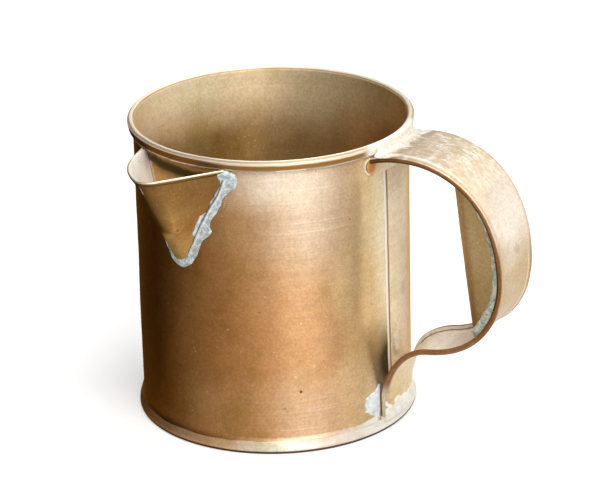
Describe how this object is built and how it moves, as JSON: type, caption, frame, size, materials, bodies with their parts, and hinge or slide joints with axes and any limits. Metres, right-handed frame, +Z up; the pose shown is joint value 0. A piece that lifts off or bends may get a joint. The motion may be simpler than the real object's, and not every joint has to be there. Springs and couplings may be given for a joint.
{
  "type": "brass jug",
  "caption": "Straight-sided sheet-brass jug with a wired rim, a soldered pan bottom, a V-shaped spout under the rim and a wide wired strap handle with a hollow grip.",
  "frame": {"origin": "centre of the underside of the bottom pan", "axes": "+Z up along the body's axis, +X from the body's axis towards the handle; the spout points 104 degrees clockwise from the handle, seen from above"},
  "size_m": [0.1796, 0.151, 0.135],
  "materials": {
    "brass": "aged, brushed and tarnished",
    "pale_brass": "worn bright by the hand",
    "solder": "dull lead-grey tin solder with a chalky bloom",
    "steel_wire": "plain drawn wire, hidden in the rolled edges"
  },
  "bodies": {
    "root": {"body_wall": "brass", "rim_wire": "steel_wire", "bottom_pan": "brass", "spout": "brass", "handle_strap": "pale_brass", "handle_wire_near": "steel_wire", "handle_wire_far": "steel_wire", "handle_grip": "brass", "solder_foot": "solder", "solder_seam": "solder", "solder_spout": "solder", "solder_handle_top": "solder", "solder_handle_end": "solder", "solder_handle_side": "solder", "solder_grip_near": "solder", "solder_grip_far": "solder"}
  },
  "joints": []
}
